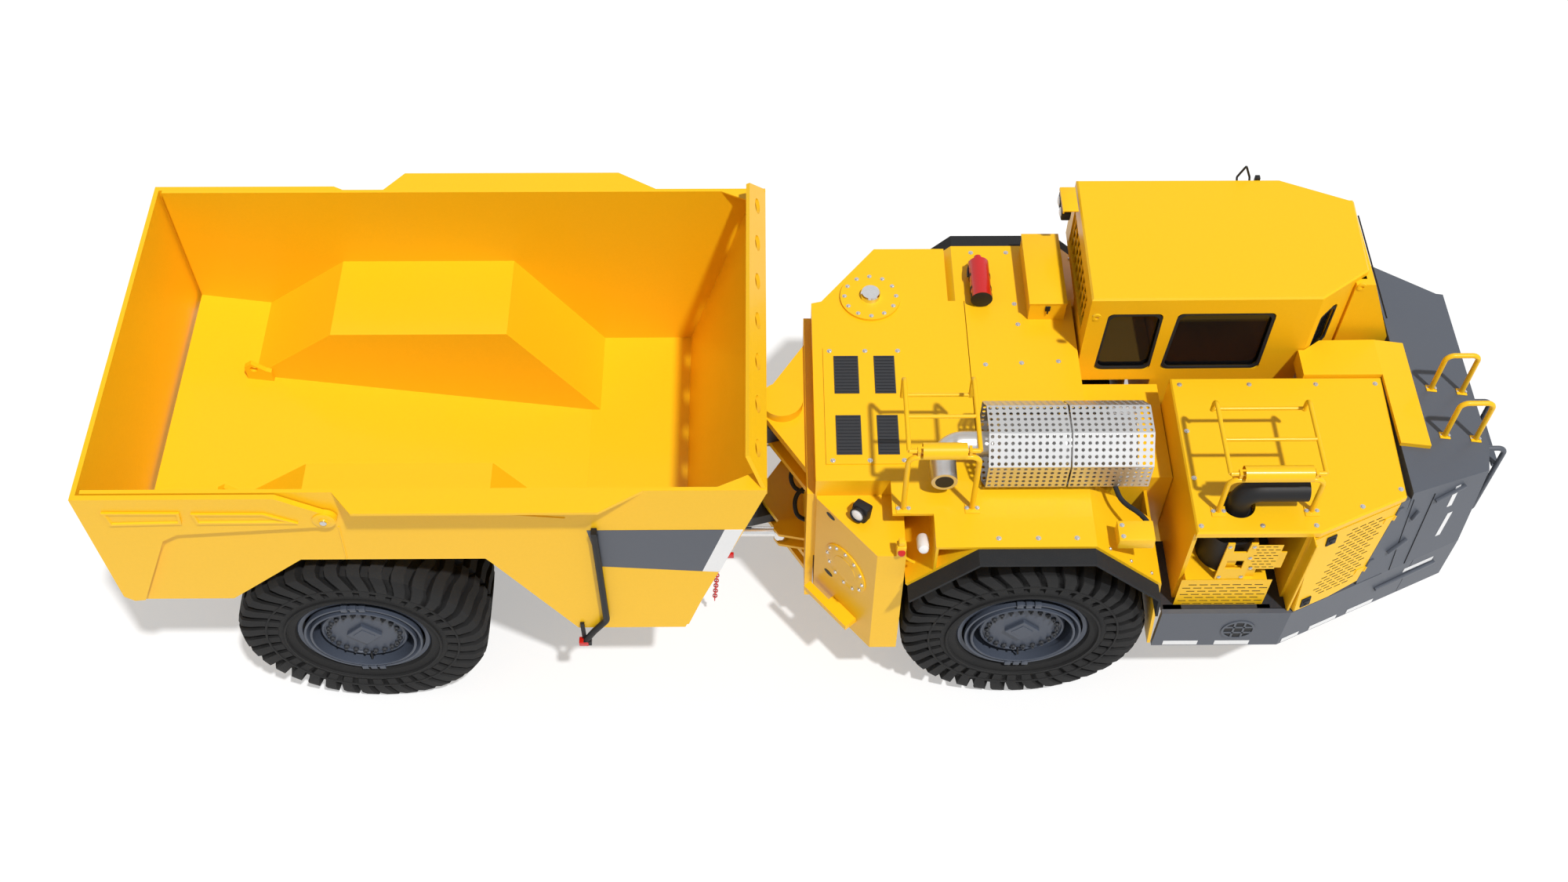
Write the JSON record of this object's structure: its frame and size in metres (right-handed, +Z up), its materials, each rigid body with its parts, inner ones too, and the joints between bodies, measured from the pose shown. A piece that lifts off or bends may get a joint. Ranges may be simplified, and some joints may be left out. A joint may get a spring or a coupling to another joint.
{
  "type": "articulated underground dump truck",
  "caption": "Low-profile articulated mine dump truck: steering hinge, tipping box with hinged tailgate, offset cab, fold-down handrails",
  "frame": {"origin": "centre of the bounding box at ground level", "axes": "+X forward, +Y to the left, +Z up"},
  "size_m": [10.42, 3.2, 3.1499],
  "materials": {
    "yellow": "gloss yellow machine paint",
    "grey": "satin blue-grey paint",
    "dark_grey": "satin dark grey paint",
    "rim_grey": "satin blue-grey paint",
    "tyre": "black rubber",
    "rubber": "black rubber",
    "steel": "bright steel",
    "chrome": "chromed rod",
    "black": "matte black",
    "red": "gloss red paint",
    "glass": "tinted safety glass",
    "trim": "dark seat fabric"
  },
  "bodies": {
    "front_unit": {"front_frame": "yellow", "front_axle": "dark_grey", "tank_module": "yellow", "right_block": "yellow", "mid_module": "yellow", "electrical_box": "yellow", "extinguisher": "red", "fender_right": "yellow", "fender_left": "yellow", "fender_lip_right": "rubber", "fender_lip_left": "rubber", "heat_shield": "steel", "exhaust": "steel", "cab_body": "yellow", "cab_roof": "yellow", "cab_glass": "glass", "seat": "trim", "steering_column": "black", "hood": "yellow", "engine_block": "dark_grey", "air_intake": "black", "bay_box": "yellow", "nose": "grey", "nose_cover": "yellow", "skirt_right": "grey", "skirt_left": "grey", "ladder": "grey", "grab_rails": "yellow", "handrail_base_rear": "yellow", "handrail_base_front": "yellow"},
    "rear_unit": {"rear_frame": "dark_grey", "rear_axle": "dark_grey"},
    "dump_box": {"dump_box": "yellow", "side_tube": "black"},
    "tailgate": {"tailgate": "yellow"},
    "cab_door": {"cab_door": "yellow", "door_glass": "glass"},
    "side_door": {"side_door": "yellow"},
    "wheel_front_right": {"tyre_front_right": "tyre", "rim_front_right": "rim_grey"},
    "wheel_front_left": {"tyre_front_left": "tyre", "rim_front_left": "rim_grey"},
    "wheel_rear_right": {"tyre_rear_right": "tyre", "rim_rear_right": "rim_grey"},
    "wheel_rear_left": {"tyre_rear_left": "tyre", "rim_rear_left": "rim_grey"},
    "hoist_barrel_right": {"hoist_barrel_right": "dark_grey"},
    "hoist_stage_right": {"hoist_stage_right": "chrome"},
    "hoist_rod_right": {"hoist_rod_right": "chrome"},
    "hoist_barrel_left": {"hoist_barrel_left": "dark_grey"},
    "hoist_stage_left": {"hoist_stage_left": "chrome"},
    "hoist_rod_left": {"hoist_rod_left": "chrome"},
    "steer_barrel_right": {"steer_barrel_right": "dark_grey"},
    "steer_rod_right": {"steer_rod_right": "chrome"},
    "steer_barrel_left": {"steer_barrel_left": "dark_grey"},
    "steer_rod_left": {"steer_rod_left": "chrome"},
    "handrail_frame_rear": {"handrail_frame_rear": "yellow"},
    "handrail_frame_front": {"handrail_frame_front": "yellow"}
  },
  "joints": [
    {"name": "steering", "type": "hinge", "parent": "front_unit", "child": "rear_unit", "pos_m": [-0.345, 0, 1.3], "axis": [0, 0, 1], "range_deg": [-40, 40]},
    {"name": "box_tip", "type": "hinge", "parent": "rear_unit", "child": "dump_box", "pos_m": [-4.585, 0, 1.3], "axis": [0, -1, 0], "range_deg": [0, 60]},
    {"name": "tailgate_swing", "type": "hinge", "parent": "dump_box", "child": "tailgate", "pos_m": [-3.529, 0, 2.663], "axis": [0, 1, 0], "range_deg": [0, 40]},
    {"name": "wheel_front_right_spin", "type": "hinge", "parent": "front_unit", "child": "wheel_front_right", "pos_m": [1.515, -1.075, 0.95], "axis": [0, 1, 0], "continuous": true},
    {"name": "wheel_front_left_spin", "type": "hinge", "parent": "front_unit", "child": "wheel_front_left", "pos_m": [1.515, 1.075, 0.95], "axis": [0, 1, 0], "continuous": true},
    {"name": "wheel_rear_right_spin", "type": "hinge", "parent": "rear_unit", "child": "wheel_rear_right", "pos_m": [-3.585, -1.075, 0.95], "axis": [0, 1, 0], "continuous": true},
    {"name": "wheel_rear_left_spin", "type": "hinge", "parent": "rear_unit", "child": "wheel_rear_left", "pos_m": [-3.585, 1.075, 0.95], "axis": [0, 1, 0], "continuous": true},
    {"name": "hoist_barrel_right_swing", "type": "hinge", "parent": "rear_unit", "child": "hoist_barrel_right", "pos_m": [-1.865, -0.8, 0.45], "axis": [0, -1, 0], "range_deg": [-1, 6.7]},
    {"name": "hoist_stage_right_slide", "type": "slide", "parent": "hoist_barrel_right", "child": "hoist_stage_right", "axis": [-0.4557, 0, 0.8901], "range_m": [-0.002, 1.0309]},
    {"name": "hoist_rod_right_slide", "type": "slide", "parent": "hoist_stage_right", "child": "hoist_rod_right", "axis": [-0.4557, 0, 0.8901], "range_m": [-0.002, 1.0309]},
    {"name": "hoist_barrel_left_swing", "type": "hinge", "parent": "rear_unit", "child": "hoist_barrel_left", "pos_m": [-1.865, 0.8, 0.45], "axis": [0, -1, 0], "range_deg": [-1, 6.7]},
    {"name": "hoist_stage_left_slide", "type": "slide", "parent": "hoist_barrel_left", "child": "hoist_stage_left", "axis": [-0.4557, 0, 0.8901], "range_m": [-0.002, 1.0309]},
    {"name": "hoist_rod_left_slide", "type": "slide", "parent": "hoist_stage_left", "child": "hoist_rod_left", "axis": [-0.4557, 0, 0.8901], "range_m": [-0.002, 1.0309]},
    {"name": "steer_barrel_right_swing", "type": "hinge", "parent": "rear_unit", "child": "steer_barrel_right", "pos_m": [-1.585, -0.43, 0.92], "axis": [0, 0, 1], "range_deg": [-0.73, 0.73]},
    {"name": "steer_rod_right_slide", "type": "slide", "parent": "steer_barrel_right", "child": "steer_rod_right", "axis": [0.9999, -0.0161, 0], "range_m": [-0.2934, 0.2934]},
    {"name": "steer_barrel_left_swing", "type": "hinge", "parent": "rear_unit", "child": "steer_barrel_left", "pos_m": [-1.585, 0.43, 0.92], "axis": [0, 0, 1], "range_deg": [-0.73, 0.73]},
    {"name": "steer_rod_left_slide", "type": "slide", "parent": "steer_barrel_left", "child": "steer_rod_left", "axis": [0.9999, 0.0161, 0], "range_m": [-0.2934, 0.2934]},
    {"name": "cab_door_swing", "type": "hinge", "parent": "front_unit", "child": "cab_door", "pos_m": [3.498, 1.586, 2], "axis": [0, 0, -1], "range_deg": [0, 85]},
    {"name": "side_door_swing", "type": "hinge", "parent": "front_unit", "child": "side_door", "pos_m": [4.06602, -1.2072, 1.34562], "axis": [0.1655, 0.1919, 0.9674], "range_deg": [0, 100]},
    {"name": "handrail_rear_fold", "type": "hinge", "parent": "front_unit", "child": "handrail_frame_rear", "pos_m": [0.775, -1.09, 2.925], "axis": [1, 0, 0], "range_deg": [0, 90]},
    {"name": "handrail_front_fold", "type": "hinge", "parent": "front_unit", "child": "handrail_frame_front", "pos_m": [3.155, -1.13, 2.685], "axis": [1, 0, 0], "range_deg": [0, 90]}
  ],
  "couplings": [
    {"joint": "hoist_barrel_right_swing", "follows": "box_tip", "ratio": 0.095},
    {"joint": "hoist_stage_right_slide", "follows": "box_tip", "m_per_rad": 0.9825},
    {"joint": "hoist_rod_right_slide", "follows": "box_tip", "m_per_rad": 0.9825},
    {"joint": "hoist_barrel_left_swing", "follows": "box_tip", "ratio": 0.095},
    {"joint": "hoist_stage_left_slide", "follows": "box_tip", "m_per_rad": 0.9825},
    {"joint": "hoist_rod_left_slide", "follows": "box_tip", "m_per_rad": 0.9825},
    {"joint": "steer_barrel_right_swing", "follows": "steering", "ratio": -0.00583},
    {"joint": "steer_rod_right_slide", "follows": "steering", "m_per_rad": -0.41743},
    {"joint": "steer_barrel_left_swing", "follows": "steering", "ratio": -0.00583},
    {"joint": "steer_rod_left_slide", "follows": "steering", "m_per_rad": 0.41743}
  ]
}
